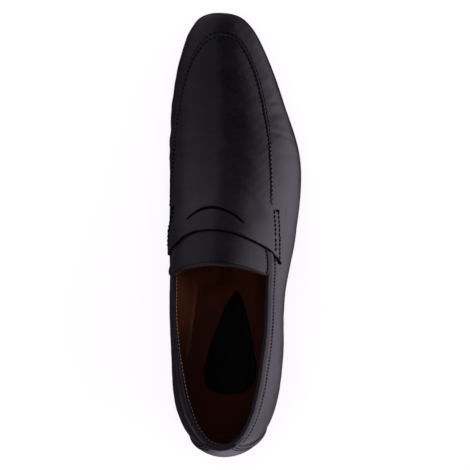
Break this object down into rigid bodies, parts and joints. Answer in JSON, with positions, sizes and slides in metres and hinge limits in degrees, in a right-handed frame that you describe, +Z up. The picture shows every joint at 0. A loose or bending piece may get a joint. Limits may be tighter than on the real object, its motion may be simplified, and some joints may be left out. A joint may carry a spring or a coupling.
{
  "type": "slip-on shoe",
  "caption": "Black leather penny loafer for the right foot: lasted hollow upper with raised apron seam, slotted saddle, tongue, low stacked heel and moulded sole.",
  "frame": {"origin": "on the floor, under the middle of the shoe's bounding box", "axes": "+Y from heel to toe, +X to the outer (lateral) side of this right shoe, +Z up"},
  "size_m": [0.0919, 0.3014, 0.0867],
  "materials": {
    "black_leather": "polished smooth calf, satin sheen",
    "sole_rubber": "smooth moulded, semi-matt",
    "lift_rubber": "matt",
    "tan_leather": "smooth lining leather",
    "pad_leather": "soft matt"
  },
  "bodies": {
    "root": {"outsole": "sole_rubber", "heel_block": "sole_rubber", "heel_lift": "lift_rubber", "heel_tip": "lift_rubber", "upper": "black_leather", "tongue": "black_leather", "saddle": "black_leather", "back_counter": "black_leather", "insole": "tan_leather", "heel_pad": "pad_leather"}
  },
  "joints": []
}
